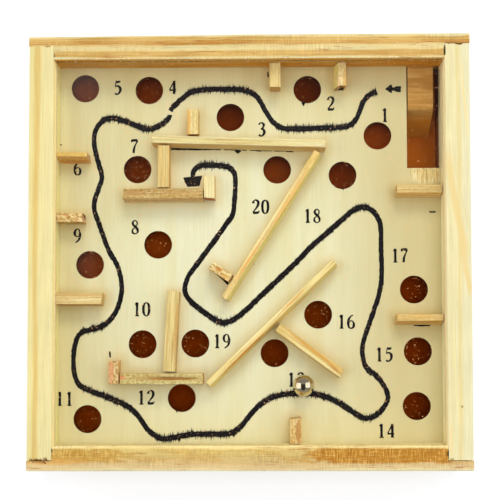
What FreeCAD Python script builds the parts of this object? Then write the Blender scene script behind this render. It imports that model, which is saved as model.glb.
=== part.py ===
"""Tilt maze game: a shallow wooden box with a steel ball that is steered along a
numbered route by tipping the box.

Frame of the part: millimetres, +Z up, origin in the middle of the underside of the
box. +Y points to the far rail (the side where the ball starts), +X to the right.

The box is four rails with three grooves each. From the bottom up the grooves hold a
hardboard bottom sheet, the plywood maze board and a clear acrylic cover. A ball that
drops through a hole rolls on the bottom sheet to the open corner of the maze board,
where a ramp block leads it back up to the start.
"""

import os

import FreeCAD
import Part
from FreeCAD import Vector

# ---------------------------------------------------------------- frame rails
BOX_WIDTH = 140.8  # along X, over the outer faces
BOX_DEPTH = 139.0  # along Y, over the outer faces
BOX_HEIGHT = 27.0
RAIL_THICKNESS = 8.0
RAIL_EDGE_CHAMFER = 0.4  # all four long edges are broken by sanding
CORNER_RADIUS = 0.5  # the four upright corners of the box are eased
CORNER_TONGUE = 3.3  # what the end rabbet leaves of the far and near rails

# ---------------------------------------------------------------- grooved sheets
GROOVE_DEPTH = 2.2
SHEET_REACH = 2.0  # how far each sheet enters its groove
GROOVE_PLAY = 0.1  # a groove is this much taller than its sheet

BOTTOM_Z = 2.5  # underside of the bottom sheet
BOTTOM_THICKNESS = 2.5
BOARD_Z = 13.0  # underside of the maze board
BOARD_THICKNESS = 3.0
COVER_Z = 23.5  # underside of the clear cover
COVER_THICKNESS = 1.3

FLOOR_TOP = BOTTOM_Z + BOTTOM_THICKNESS
BOARD_TOP = BOARD_Z + BOARD_THICKNESS

HALF_X = BOX_WIDTH / 2
HALF_Y = BOX_DEPTH / 2
INNER_X = HALF_X - RAIL_THICKNESS  # inner wall faces of the box
INNER_Y = HALF_Y - RAIL_THICKNESS

# ---------------------------------------------------------------- maze board
HOLE_DIAMETER = 9.1
RETURN_NOTCH_X = 51.5  # the open corner reaches from here to the right rail
RETURN_NOTCH_Y = 27.9  # and from here to the far rail

# Trap holes by the number printed beside each one. There is no hole 6.
HOLES = {
    1: (41.9, 38.6),
    2: (19.0, 54.0),
    3: (-6.3, 44.9),
    4: (-33.0, 54.0),
    5: (-54.1, 54.7),
    7: (-36.8, 27.8),
    8: (-30.0, 3.0),
    9: (-52.3, -3.5),
    10: (-35.0, -29.5),
    11: (-52.9, -53.8),
    12: (-22.2, -47.0),
    13: (8.0, -32.5),
    14: (54.0, -49.7),
    15: (54.5, -32.0),
    16: (22.2, -20.0),
    17: (53.4, -11.9),
    18: (30.4, 25.6),
    19: (-17.8, -29.3),
    20: (9.0, 27.5),
}

# ---------------------------------------------------------------- return ramp
RAMP_X = 51.9  # left face, just clear of the maze board's edge
RAMP_WIDTH = 8.3
RAMP_FLAT = 14.0  # level part at the far rail, flush with the maze board
RAMP_SLOPE_RUN = 7.2  # from the level part down to the bottom sheet
RAMP_BROW_RADIUS = 2.5  # the crest between them is sanded round

# ---------------------------------------------------------------- barriers
BARRIER_HEIGHT = 6.5  # lower than the ball, so that it can't climb over
# The sticks are sawn and glued by hand, and some stand out of square. Seen along a
# stick's direction, its top face is shifted to the left by lean, and its right flank
# also slopes in by taper, given at the start and at the end of the stick.
# name: (middle x, middle y, direction in degrees, length, width, lean, taper, taper)
BARRIERS = {
    "barrier_far_left": (8.4, 57.4, 90.0, 8.2, 3.6, 0.0, 0.0, 0.0),
    "barrier_far_right": (29.3, 57.4, -90.0, 8.2, 3.8, 0.2, 1.2, 1.2),
    "barrier_by_hole_3": (-18.2, 42.3, 90.0, 8.4, 3.7, 0.0, 0.0, 0.0),
    "barrier_long_bar": (-3.4, 35.6, -1.8, 56.4, 3.0, 0.0, 0.5, 0.5),
    "barrier_by_hole_7": (-27.7, 27.8, 90.0, 13.8, 3.8, 0.0, 0.0, 0.0),
    "barrier_hook_arm": (-27.9, 18.6, 0.0, 26.2, 3.6, 0.3, 0.2, 0.2),
    "barrier_hook_tip": (-12.9, 21.0, 90.0, 7.6, 3.6, 0.0, 0.0, 0.0),
    "barrier_long_diagonal": (7.3, 8.5, 57.6, 56.2, 2.7, 0.2, 1.6, 0.7),
    "barrier_diagonal_stub": (-9.3, -6.2, -34.0, 8.2, 2.8, 0.0, 0.0, 0.0),
    "barrier_lower_diagonal": (7.2, -23.0, 44.0, 56.6, 2.9, 0.0, 1.0, 1.0),
    "barrier_by_hole_13": (19.3, -31.8, -36.3, 25.8, 3.3, 0.0, 0.3, 0.9),
    "barrier_by_hole_10": (-25.1, -25.4, 87.0, 26.0, 3.9, 0.0, 0.0, 0.0),
    "barrier_low_bar": (-28.2, -40.6, 0.0, 26.8, 3.6, 0.0, 0.0, 0.0),
    "barrier_low_bar_end": (-43.6, -38.4, 90.0, 7.7, 3.3, 0.0, 0.0, 0.0),
    "barrier_left_upper": (-57.2, 31.0, 0.0, 10.4, 2.6, 0.2, 1.2, 1.2),
    "barrier_left_middle": (-57.9, 11.3, 0.0, 9.0, 3.1, 0.0, 0.0, 0.0),
    "barrier_left_lower": (-54.7, -15.1, 0.0, 15.4, 3.8, 0.3, 0.0, 0.0),
    "barrier_right_upper": (54.7, 19.7, 0.0, 14.8, 3.0, 0.3, 0.4, 0.4),
    "barrier_right_lower": (54.5, -21.9, 0.0, 15.2, 3.1, 0.3, 0.9, 0.9),
    "barrier_near": (14.6, -57.2, 90.0, 8.6, 3.8, 0.0, 0.0, 0.0),
}

# ---------------------------------------------------------------- ball
BALL_DIAMETER = 7.0
BALL_AT = (17.3, -42.9)
BALL_LIFT = 0.02  # running clearance over the maze board


def box(x, y, z, corner):
    """A block of the given size with its lowest corner at the given place."""
    return Part.makeBox(x, y, z, Vector(*corner))


def rail(length, rabbeted):
    """A rail along X with its outer face at Y = 0 and its inner face at Y = RAIL_THICKNESS."""
    c = RAIL_EDGE_CHAMFER
    inner = RAIL_THICKNESS
    grooves = [
        (BOTTOM_Z, BOTTOM_THICKNESS),
        (BOARD_Z, BOARD_THICKNESS),
        (COVER_Z, COVER_THICKNESS),
    ]
    section = [(c, 0), (inner - c, 0), (inner, c)]
    for low, thickness in grooves:
        high = low + thickness + GROOVE_PLAY
        section += [(inner, low), (inner - GROOVE_DEPTH, low)]
        section += [(inner - GROOVE_DEPTH, high), (inner, high)]
    section += [(inner, BOX_HEIGHT - c), (inner - c, BOX_HEIGHT)]
    section += [(c, BOX_HEIGHT), (0, BOX_HEIGHT - c), (0, c)]

    start = -length / 2
    corners = [Vector(start, y, z) for y, z in section]
    face = Part.Face(Part.makePolygon(corners + corners[:1]))
    solid = face.extrude(Vector(length, 0, 0))

    if rabbeted:
        for side in (-1, 1):
            cut_x = INNER_X if side > 0 else -HALF_X
            cut = box(
                RAIL_THICKNESS,
                RAIL_THICKNESS,
                BOX_HEIGHT,
                (cut_x, CORNER_TONGUE, 0),
            )
            solid = solid.cut(cut)
        upright = [e for e in solid.Edges if is_outer_upright(e)]
        solid = solid.makeFillet(CORNER_RADIUS, upright)
    return solid


def is_outer_upright(edge):
    """True for the upright edges at the two outer corners of a full-width rail."""
    ends = [v.Point for v in edge.Vertexes]
    if len(ends) != 2:
        return False
    tall = abs(ends[0].z - ends[1].z) > BOX_HEIGHT / 2
    at_corner = all(abs(abs(p.x) - HALF_X) < 0.01 and abs(p.y) < 0.01 for p in ends)
    return tall and at_corner


def turned(shape, degrees, move):
    """The shape turned about the upright axis and then moved."""
    result = shape.copy()
    result.rotate(Vector(0, 0, 0), Vector(0, 0, 1), degrees)
    result.translate(Vector(*move))
    return result


def frame_rails():
    """Far and near rails run the full width. The side rails end in their rabbets."""
    full = rail(BOX_WIDTH, rabbeted=True)
    side = rail(BOX_DEPTH - 2 * CORNER_TONGUE, rabbeted=False)
    return {
        "near_rail": turned(full, 0, (0, -HALF_Y, 0)),
        "far_rail": turned(full, 180, (0, HALF_Y, 0)),
        "left_rail": turned(side, -90, (-HALF_X, 0, 0)),
        "right_rail": turned(side, 90, (HALF_X, 0, 0)),
    }


def sheet(low, thickness):
    """A rectangular sheet that reaches into the grooves of all four rails."""
    x = INNER_X + SHEET_REACH
    y = INNER_Y + SHEET_REACH
    return box(2 * x, 2 * y, thickness, (-x, -y, low))


def maze_board():
    """The plywood board with its trap holes and the open return corner."""
    board = sheet(BOARD_Z, BOARD_THICKNESS)
    for x, y in HOLES.values():
        drill = Part.makeCylinder(
            HOLE_DIAMETER / 2, BOARD_THICKNESS + 2, Vector(x, y, BOARD_Z - 1)
        )
        board = board.cut(drill)
    corner = box(
        HALF_X, HALF_Y, BOARD_THICKNESS + 2, (RETURN_NOTCH_X, RETURN_NOTCH_Y, BOARD_Z - 1)
    )
    return board.cut(corner)


def return_ramp():
    """A block with a level top at the far rail and a steep slope down to the bottom sheet."""
    far = INNER_Y
    crest = far - RAMP_FLAT
    foot = crest - RAMP_SLOPE_RUN
    outline = [(foot, FLOOR_TOP), (far, FLOOR_TOP), (far, BOARD_TOP), (crest, BOARD_TOP)]
    corners = [Vector(RAMP_X, y, z) for y, z in outline]
    face = Part.Face(Part.makePolygon(corners + corners[:1]))
    block = face.extrude(Vector(RAMP_WIDTH, 0, 0))

    def on_crest(point):
        return abs(point.y - crest) < 0.01 and abs(point.z - BOARD_TOP) < 0.01

    brow = [e for e in block.Edges if all(on_crest(v.Point) for v in e.Vertexes)]
    return block.makeFillet(RAMP_BROW_RADIUS, brow)


def barrier(x, y, degrees, length, width, lean, taper_start, taper_end):
    """A stick glued on the maze board, along X and then turned to its direction."""
    ends = []
    for along, taper in ((-length / 2, taper_start), (length / 2, taper_end)):
        section = [
            (-width / 2, 0),
            (width / 2, 0),
            (width / 2 + lean, BARRIER_HEIGHT),
            (-width / 2 + lean + taper, BARRIER_HEIGHT),
        ]
        corners = [Vector(along, across, up) for across, up in section]
        ends.append(Part.makePolygon(corners + corners[:1]))
    stick = Part.makeLoft(ends, True, True)  # solid, with straight edges between the ends
    return turned(stick, degrees, (x, y, BOARD_TOP))


def steel_ball():
    """The ball, resting on the maze board."""
    radius = BALL_DIAMETER / 2
    x, y = BALL_AT
    return Part.makeSphere(radius, Vector(x, y, BOARD_TOP + BALL_LIFT + radius))


def build():
    """Every piece of the game by its node name."""
    nodes = frame_rails()
    nodes["bottom_sheet"] = sheet(BOTTOM_Z, BOTTOM_THICKNESS)
    nodes["maze_board"] = maze_board()
    nodes["clear_cover"] = sheet(COVER_Z, COVER_THICKNESS)
    nodes["return_ramp"] = return_ramp()
    for name, values in BARRIERS.items():
        nodes[name] = barrier(*values)
    nodes["steel_ball"] = steel_ball()
    return nodes


os.makedirs("parts", exist_ok=True)
for node, shape in build().items():
    shape.exportStep("parts/" + node + ".step")
    print(node, "valid" if shape.isValid() else "INVALID", round(shape.Volume, 2))
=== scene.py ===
"""Looks of the tilt maze game: worn pine box, plywood maze with printed route, glued sticks,
steel ball and dusty clear cover, seen from almost straight above.

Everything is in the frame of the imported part: metres, +Z up, origin in the middle of the
underside, +Y to the far rail. Lengths in the tables below are millimetres.
"""

import math
import random
from collections import namedtuple

import bmesh
import bpy
from mathutils import Matrix, Vector
from mathutils.noise import noise


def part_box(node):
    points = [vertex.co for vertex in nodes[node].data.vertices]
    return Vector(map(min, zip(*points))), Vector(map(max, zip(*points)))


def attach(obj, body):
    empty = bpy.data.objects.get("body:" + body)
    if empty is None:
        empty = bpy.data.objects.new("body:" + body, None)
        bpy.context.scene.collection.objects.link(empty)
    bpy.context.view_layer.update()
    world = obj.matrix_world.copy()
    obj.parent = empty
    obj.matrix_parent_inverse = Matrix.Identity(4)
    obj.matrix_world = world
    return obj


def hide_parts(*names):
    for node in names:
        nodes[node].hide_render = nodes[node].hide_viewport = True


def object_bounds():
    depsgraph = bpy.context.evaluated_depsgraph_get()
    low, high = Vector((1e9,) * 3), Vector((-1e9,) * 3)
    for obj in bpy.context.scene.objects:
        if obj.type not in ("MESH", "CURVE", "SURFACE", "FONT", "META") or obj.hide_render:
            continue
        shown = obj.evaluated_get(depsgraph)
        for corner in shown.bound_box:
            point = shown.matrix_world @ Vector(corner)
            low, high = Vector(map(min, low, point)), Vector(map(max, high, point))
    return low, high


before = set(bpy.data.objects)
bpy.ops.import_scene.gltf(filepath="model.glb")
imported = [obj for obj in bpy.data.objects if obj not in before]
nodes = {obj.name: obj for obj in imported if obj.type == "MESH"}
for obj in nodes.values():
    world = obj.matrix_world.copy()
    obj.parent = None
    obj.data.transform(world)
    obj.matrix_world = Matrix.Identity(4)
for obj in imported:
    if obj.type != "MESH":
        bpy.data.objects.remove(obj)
cad_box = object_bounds()
MM = 0.001

# ---------------------------------------------------------------- sizes read from the frame
box_high = cad_box[1]
BOX_HEIGHT = box_high.z / MM
HALF_X = box_high.x / MM
HALF_Y = box_high.y / MM
INNER_X = -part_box("left_rail")[1].x / MM
INNER_Y = HALF_Y - (HALF_X - INNER_X)
TONGUE_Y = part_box("left_rail")[1].y / MM
BOARD_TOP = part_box("maze_board")[1].z / MM
COVER_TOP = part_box("clear_cover")[1].z / MM
RAIL_THICKNESS = HALF_X - INNER_X
TONGUE = HALF_Y - TONGUE_Y
GROOVE_DEPTH = 2.2
GROOVE_PLAY = 0.1
RAIL_ROUNDING = 0.4
TONGUE_ROUNDING = 0.5
FAR_TAPER = 0.5  # the far rail is this much thinner at its left end
SANDING = 0.05
JOINT_GAP = 0.09


# ---------------------------------------------------------------- small helpers
def bumps(x, y, z):
    """Smooth noise from -1 to 1 at a place."""
    return noise(Vector((x, y, z)))


def link(name, data):
    """A new object in the scene with this data."""
    made = bpy.data.objects.new(name, data)
    bpy.context.scene.collection.objects.link(made)
    return made


# ---------------------------------------------------------------- shader helper
def colour(r, g, b):
    """A display colour given as 0 to 255 numbers, turned into scene-linear values."""
    parts = []
    for value in (r, g, b):
        v = value / 255
        parts.append(v / 12.92 if v <= 0.04045 else ((v + 0.055) / 1.055) ** 2.4)
    return (*parts, 1.0)


class Shader:
    """A node material written as plain calls. Each call adds a node and returns its output."""

    def __init__(self, name):
        self.material = bpy.data.materials.new(name)
        self.material.use_nodes = True
        self.tree = self.material.node_tree
        self.tree.nodes.clear()

    def add(self, kind, inputs=None, output=0, **settings):
        node = self.tree.nodes.new(kind)
        for key, value in settings.items():
            setattr(node, key, value)
        for key, value in (inputs or {}).items():
            if isinstance(value, bpy.types.NodeSocket):
                self.tree.links.new(value, node.inputs[key])
            else:
                node.inputs[key].default_value = value
        return node.outputs[output]

    def place(self, scale=(1, 1, 1), shift=(0, 0, 0)):
        """Object coordinates in millimetres, shifted and then stretched."""
        here = self.add("ShaderNodeTexCoord", output=3)
        moved = self.add("ShaderNodeVectorMath", {0: here, 1: (1 / MM,) * 3}, operation="MULTIPLY")
        moved = self.add("ShaderNodeVectorMath", {0: moved, 1: shift}, operation="ADD")
        return self.add("ShaderNodeVectorMath", {0: moved, 1: scale}, operation="MULTIPLY")

    def axis(self, vector, name):
        return self.add("ShaderNodeSeparateXYZ", {0: vector}, output="XYZ".index(name))

    def length(self, vector):
        return self.add("ShaderNodeVectorMath", {0: vector}, output=1, operation="LENGTH")

    def dot(self, vector, direction):
        inputs = {0: vector, 1: direction}
        return self.add("ShaderNodeVectorMath", inputs, output=1, operation="DOT_PRODUCT")

    def facing(self):
        """The surface direction, in the piece's own axes."""
        return self.add("ShaderNodeTexCoord", output=1)

    def here(self, name):
        """One of the object's coordinates in millimetres."""
        return self.axis(self.place(), name)

    def noise(self, scale, shift=(0, 0, 0), detail=3.0, roughness=0.55):
        """Noise from about 0.25 to 0.75 with scale bumps per millimetre along each axis."""
        values = {"Vector": self.place(scale, shift), "Scale": 1.0}
        values.update({"Detail": detail, "Roughness": roughness})
        return self.add("ShaderNodeTexNoise", values)

    def math(self, operation, a, b=0.0):
        return self.add("ShaderNodeMath", {0: a, 1: b}, operation=operation)

    def plus(self, a, b):
        return self.math("ADD", a, b)

    def minus(self, a, b):
        return self.math("SUBTRACT", a, b)

    def times(self, a, b):
        return self.math("MULTIPLY", a, b)

    def larger(self, a, b):
        return self.math("MAXIMUM", a, b)

    def spread(self, value, low, high, to_low=0.0, to_high=1.0):
        """Maps low..high onto to_low..to_high with a smooth start and end."""
        values = {"Value": value, "From Min": low, "From Max": high}
        values.update({"To Min": to_low, "To Max": to_high})
        return self.add("ShaderNodeMapRange", values, interpolation_type="SMOOTHSTEP")

    def ramp(self, value, stops):
        """Colour stops as (place, (r, g, b)) with 0 to 255 colours."""
        node = self.tree.nodes.new("ShaderNodeValToRGB")
        ramp = node.color_ramp
        while len(ramp.elements) < len(stops):
            ramp.elements.new(0.5)
        for element, (at, rgb) in zip(ramp.elements, stops):
            element.position = at
            element.color = colour(*rgb)
        self.tree.links.new(value, node.inputs[0])
        return node.outputs[0]

    def mix(self, amount, a, b, blend="MIX"):
        """Blends b over a. A colour of three numbers is a display colour from 0 to 255."""
        node = self.tree.nodes.new("ShaderNodeMix")
        node.data_type = "RGBA"
        node.blend_type = blend
        for index, value in ((0, amount), (6, a), (7, b)):
            if isinstance(value, bpy.types.NodeSocket):
                self.tree.links.new(value, node.inputs[index])
            elif index and len(value) == 3:
                node.inputs[index].default_value = colour(*value)
            else:
                node.inputs[index].default_value = value
        return node.outputs[2]

    def tinted(self, base, tint):
        return self.mix(1.0, base, tint, "MULTIPLY")

    def shaded(self, base, pattern, low, high):
        """base times a grey that goes from low to high with the pattern."""
        grey = self.spread(pattern, 0.3, 0.7, low, high)
        return self.tinted(base, self.add("ShaderNodeCombineXYZ", {0: grey, 1: grey, 2: grey}))

    def surface(self, base, roughness=0.6, height=None, bump=0.3, distance=0.0001, **more):
        inputs = {"Base Color": base, "Roughness": roughness}
        inputs.update({key.replace("_", " "): value for key, value in more.items()})
        if height is not None:
            values = {"Height": height, "Strength": bump, "Distance": distance}
            inputs["Normal"] = self.add("ShaderNodeBump", values)
        return self.finish(self.add("ShaderNodeBsdfPrincipled", inputs))

    def finish(self, shader):
        out = self.tree.nodes.new("ShaderNodeOutputMaterial")
        self.tree.links.new(shader, out.inputs[0])
        return self.material


def patch(s, base, at, reach, rgb, strength=1.0, seed=0.0, wander=1.0):
    """Blends a ragged patch of another colour into base. at and reach are X and Y in mm."""
    moved = s.place((1 / reach[0], 1 / reach[1], 0), (-at[0], -at[1], 0))
    far = s.length(moved)
    ragged = s.noise((0.9, 2.2, 2.2), (seed, seed, 0), 4.0)
    lobes = s.noise((0.22 / wander, 0.45, 0.5), (seed, 0, seed), 2.0)
    edge = s.plus(far, s.times(ragged, 1.2))
    edge = s.plus(edge, s.times(s.minus(lobes, 0.5), 2.4 * (wander - 1)))
    amount = s.spread(edge, 1.1, 1.7, strength, 0.0)
    return s.mix(amount, base, rgb)


# ---------------------------------------------------------------- wood of the rails
def rail_wood(name):
    """Sawn pine. The bands are colour stops across the top face, from the outer edge inwards."""
    # the inner wall colour of each rail carries painted light and shade as well as the pine
    along, side, bands, tone, wall_colour_with_painted_light_and_shade, waves, seed = RAILS[name]
    s = Shader(name + "_pine")
    across = "Y" if along == "X" else "X"
    here = s.place()

    def grain(lengthways, crossways, detail=3.0, roughness=0.55, shift=0.0):
        """Noise drawn out along the rail; both numbers are bumps per millimetre."""
        stretch = {along: lengthways, across: crossways, "Z": crossways}
        place = (seed + shift, seed, shift)
        return s.noise([stretch[a] for a in "XYZ"], place, detail, roughness)

    outer = HALF_Y if along == "X" else HALF_X
    inward = s.minus(outer, s.times(s.axis(here, across), side))
    sway = s.times(s.minus(grain(0.018, 0.22, 2.0), 0.5), waves[0])
    ripple = s.times(s.minus(grain(0.09, 0.5, 2.0, shift=9.0), 0.5), waves[1])
    place = s.plus(inward, s.plus(sway, ripple))
    depth = s.times(s.minus(s.axis(here, "Z"), BOX_HEIGHT), 0.35)
    place = s.math("DIVIDE", s.plus(place, depth), RAIL_THICKNESS)
    place = s.math("PINGPONG", place, 1.0)
    normal = s.facing()
    facing = s.math("ABSOLUTE", s.axis(normal, "Z"))
    top = s.tinted(s.ramp(place, bands), (tone, tone, tone, 1))
    # painted shade: the inner wall below the top of the board turns dark brown
    painted_shade_below_board = s.spread(s.axis(here, "Z"), BOARD_TOP - 3.5, BOARD_TOP - 1.0)
    walls_with_painted_shade = s.mix(painted_shade_below_board, (140, 84, 50), wall_colour_with_painted_light_and_shade)
    inner_face = s.spread(s.times(s.axis(normal, across), -side), 0.1, 0.5)
    figure = s.spread(grain(0.010, 0.34, 2.0, shift=1.0), 0.36, 0.64)
    outside = s.mix(figure, (240, 218, 158), (226, 190, 120))
    walls = s.mix(inner_face, outside, walls_with_painted_shade)
    top_face = s.spread(facing, 0.1, 0.5)
    base = s.mix(top_face, walls, top)
    fibre = grain(0.07, 3.2, 5.0, 0.6)
    base = s.shaded(base, fibre, 0.92, 1.05)
    pore = grain(0.25, 7.0, 2.0, 0.5, 4.0)
    base = s.mix(s.spread(pore, 0.68, 0.78, 0.0, 0.45), base, (186, 132, 66))
    cloud = s.noise((0.05, 0.05, 0.05), (seed, 3, 1), 3.0)
    base = s.shaded(base, cloud, 0.95, 1.03)
    if name.startswith("far"):
        faded = s.mix(0.35, base, (224, 192, 122))
        base = s.mix(s.spread(grain(0.035, 0.25, 2.0, shift=3.0), 0.42, 0.58), base, faded)
    if along == "X":
        base = s.mix(s.larger(top_face, inner_face), base, saw_marks(s, base, grain))
    if name.startswith("far"):
        crumbs = s.spread(s.noise((1.9, 3.0, 3.0), (6, 1, 4), 2.0), 0.58, 0.68, 0.0, 0.8)
        crumbs = s.times(crumbs, s.spread(inward, 7.2, 7.8))
        base = s.mix(s.times(crumbs, top_face), base, (255, 248, 224))
    if name.startswith("near"):
        base = s.mix(top_face, base, brown_clouds(s, base, inward))
    return s, base, s.plus(fibre, s.times(pore, 0.4))


def saw_marks(s, base, grain):
    """Cross-grain ticks, short dark resin lines and pale flecks of a roughly sawn rail."""
    ticks = s.shaded(base, grain(2.6, 0.22, 3.0, 0.6), 0.84, 1.12)
    base = s.mix(s.spread(grain(0.06, 0.3, 2.0, shift=5.0), 0.4, 0.6), base, ticks)
    lines = s.spread(grain(0.16, 5.0, 1.0, shift=2.0), 0.58, 0.66)
    lines = s.times(lines, s.spread(grain(0.07, 0.5, 2.0, shift=7.0), 0.5, 0.6, 0.0, 0.75))
    base = s.mix(lines, base, (150, 74, 40))
    flecks = s.spread(s.noise((3.0, 3.0, 3.0), (2, 5, 1), 1.0), 0.72, 0.77, 0.0, 0.85)
    return s.mix(flecks, base, (255, 246, 222))


def brown_clouds(s, base, inward):
    """Brown weathered clouds, strongest towards the right, with a woven look; the outer
    edge stays pale."""
    x = s.here("X")
    cloud = s.noise((0.085, 0.36, 0.2), (4, 8, 1), 5.0, 0.72)
    right = s.times(s.spread(x, 12.0, 32.0), s.spread(x, 66.0, 60.0))
    left = s.spread(x, -32.0, -50.0, 0.0, 0.55)
    where = s.plus(s.larger(right, left), 0.45)
    band = s.times(s.spread(inward, 1.6, 3.6), s.spread(inward, 7.6, 6.6))
    where = s.times(where, band)
    amount = s.spread(s.plus(cloud, s.times(where, 0.18)), 0.50, 0.64)
    amount = s.times(amount, s.math("MINIMUM", where, 0.9))
    weave = s.noise((2.4, 0.3, 0.3), (1, 2, 3), 2.0)
    weft = s.noise((0.3, 2.6, 0.3), (6, 2, 3), 2.0)
    woven = s.plus(s.times(weave, 0.6), s.times(weft, 0.4))
    brown = s.ramp(woven, [(0.34, (146, 86, 8)), (0.5, (172, 114, 26)), (0.64, (212, 166, 84))])
    olive = s.ramp(woven, [(0.3, (150, 108, 34)), (0.5, (184, 142, 62)), (0.68, (220, 186, 110))])
    brown = s.mix(s.spread(x, -8.0, 14.0), olive, brown)
    base = s.shaded(base, woven, 0.9, 1.07)
    return s.mix(amount, base, brown)


def streak(s, base, start, stop, width, rgb, strength, seed):
    """A slanted growth band on a top face, from start to stop in mm, fading at both ends."""
    along = Vector((stop[0] - start[0], stop[1] - start[1], 0))
    unit = along.normalized()
    here = s.place((1, 1, 0), (-start[0], -start[1], 0))
    run = s.dot(here, tuple(unit))
    off = s.dot(here, (-unit.y, unit.x, 0))
    run = s.math("DIVIDE", run, along.length)
    bow = s.times(s.times(run, s.minus(1.0, run)), along.length * 0.08)
    wander = s.times(s.noise((0.3, 0.12, 0.1), (seed, 0, 0), 2.0), 0.8)
    off = s.math("ABSOLUTE", s.plus(off, s.plus(bow, s.minus(wander, 0.4))))
    amount = s.times(s.spread(run, 0.0, 0.25), s.spread(run, 1.02, 0.8))
    amount = s.times(amount, s.spread(off, 0.25 * width, width, strength, 0.0))
    upward = s.axis(s.facing(), "Z")
    amount = s.times(amount, s.spread(upward, 0.3, 0.7))
    return s.mix(amount, base, rgb)


LEFT_BANDS = [
    (0.0, (238, 226, 166)), (0.17, (235, 220, 152)), (0.27, (226, 195, 118)), (0.38, (229, 201, 126)),
    (0.46, (237, 223, 160)), (0.80, (236, 222, 162)), (1.0, (241, 228, 167)),
]
RIGHT_BANDS = [
    (0.0, (236, 229, 190)), (0.15, (231, 223, 178)), (0.3, (234, 226, 184)), (0.5, (231, 214, 152)),
    (0.62, (236, 225, 176)), (0.85, (232, 220, 168)), (1.0, (240, 227, 178)),
]
FAR_BANDS = [
    (0.0, (255, 244, 190)), (0.11, (252, 234, 172)), (0.15, (228, 176, 94)), (0.19, (232, 188, 104)),
    (0.24, (236, 198, 116)), (0.27, (218, 160, 76)), (0.34, (226, 172, 88)), (0.39, (204, 142, 62)),
    (0.43, (236, 204, 128)), (0.48, (248, 232, 170)), (0.61, (250, 236, 176)), (0.65, (240, 212, 138)),
    (0.69, (222, 168, 84)), (0.77, (232, 190, 108)), (0.84, (224, 172, 90)), (0.89, (236, 200, 122)),
    (0.93, (255, 238, 172)), (1.0, (255, 240, 176)),
]
NEAR_BANDS = [
    (0.0, (228, 212, 158)), (0.05, (238, 222, 168)), (0.12, (226, 200, 146)), (0.36, (220, 190, 130)),
    (0.6, (216, 188, 118)), (0.82, (224, 198, 122)), (0.92, (242, 216, 142)), (1.0, (252, 230, 160)),
]

# The direction a rail runs along, its side of the box, its bands across the top, lightness,
# colour of the inner walls (the pine with painted light and shade: painted shade makes the far
# rail's wall deep orange, painted light makes the left and right walls near white), long and
# short waves of the grain in mm, seed
Rail = namedtuple("Rail", "along side bands tone upright waves seed")
RAILS = {
    "far_rail": Rail("X", 1, FAR_BANDS, 0.635, (220, 151, 43), (1.5, 0.9), 11.0),
    "near_rail": Rail("X", -1, NEAR_BANDS, 0.86, (246, 228, 166), (2.8, 1.4), 23.0),
    "left_rail": Rail("Y", -1, LEFT_BANDS, 0.83, (255, 246, 174), (2.8, 0.5), 31.0),
    "right_rail": Rail("Y", 1, RIGHT_BANDS, 0.86, (255, 246, 196), (2.8, 0.5), 47.0),
}
# Splinters gone from the rails: rail, place along it, place in from the outer face,
# reach along, reach across, depth
CHIPS = [
    ("left_rail", -66.1, 1.4, 0.6, 0.5, 1.3),
    ("left_rail", -66.1, 3.1, 0.9, 0.6, 1.4),
    ("left_rail", -66.1, 4.4, 0.6, 0.4, 1.1),
    ("left_rail", -66.1, 6.0, 1.0, 0.6, 1.3),
    ("near_rail", -68.2, 2.9, 0.8, 0.4, 1.0),
    ("near_rail", -65.0, 2.9, 0.9, 0.5, 1.0),
    ("left_rail", 66.1, 5.8, 0.5, 1.2, 0.6),
    ("right_rail", 66.1, 3.0, 0.6, 0.7, 1.2),
    ("right_rail", 66.1, 6.6, 0.4, 0.5, 0.6),
    ("right_rail", 63.8, 7.9, 1.7, 0.14, 1.2),
    ("right_rail", -66.1, 7.0, 0.6, 0.5, 0.8),
    ("far_rail", 62.4, 5.6, 0.15, 1.6, 1.0),
    ("far_rail", -62.3, 6.8, 0.3, 0.6, 0.5),
    ("near_rail", -62.3, 6.6, 0.3, 0.7, 0.6),
    ("near_rail", 62.3, 5.4, 0.3, 1.3, 1.0),
    ("near_rail", -66.0, 2.8, 1.6, 0.5, 0.7),
]


SHARP_ANGLE = math.radians(38)  # edges sharper than this are not smoothed
WELD = 0.002 * MM  # points closer than this become one


def mesh_object(name, body, slot, material, points, faces, smooth=True, replaces=None):
    """A named piece made from points in millimetres, riding on a body of the frame."""
    mesh = bpy.data.meshes.new(name)
    mesh.from_pydata([Vector(p) * MM for p in points], [], faces)
    mesh.validate()
    tidy = bmesh.new()
    tidy.from_mesh(mesh)
    bmesh.ops.remove_doubles(tidy, verts=tidy.verts, dist=WELD)
    bmesh.ops.dissolve_degenerate(tidy, edges=tidy.edges, dist=WELD / 2)
    bmesh.ops.recalc_face_normals(tidy, faces=tidy.faces)
    tidy.to_mesh(mesh)
    tidy.free()
    mesh.materials.append(material)
    piece = link(name, mesh)
    if smooth:
        mesh.shade_smooth()
        mesh.set_sharp_from_angle(angle=SHARP_ANGLE)
    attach(piece, body)
    if replaces:
        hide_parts(replaces)
    return piece


def skin(rings):
    """Points and faces of a closed skin over rings with the same number of points each."""
    count = len(rings[0])
    points = [p for ring in rings for p in ring]
    faces = []
    for row in range(0, len(points) - count, count):
        for i in range(count):
            j = (i + 1) % count
            faces.append((row + i, row + j, row + count + j, row + count + i))
    faces.append(tuple(range(count)))
    faces.append(tuple(reversed(range(len(points) - count, len(points)))))
    return points, faces


def split_edge(a, b, parts):
    """Points from a up to but not including b."""
    return [tuple(p + (q - p) * i / parts for p, q in zip(a, b)) for i in range(parts)]


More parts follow.
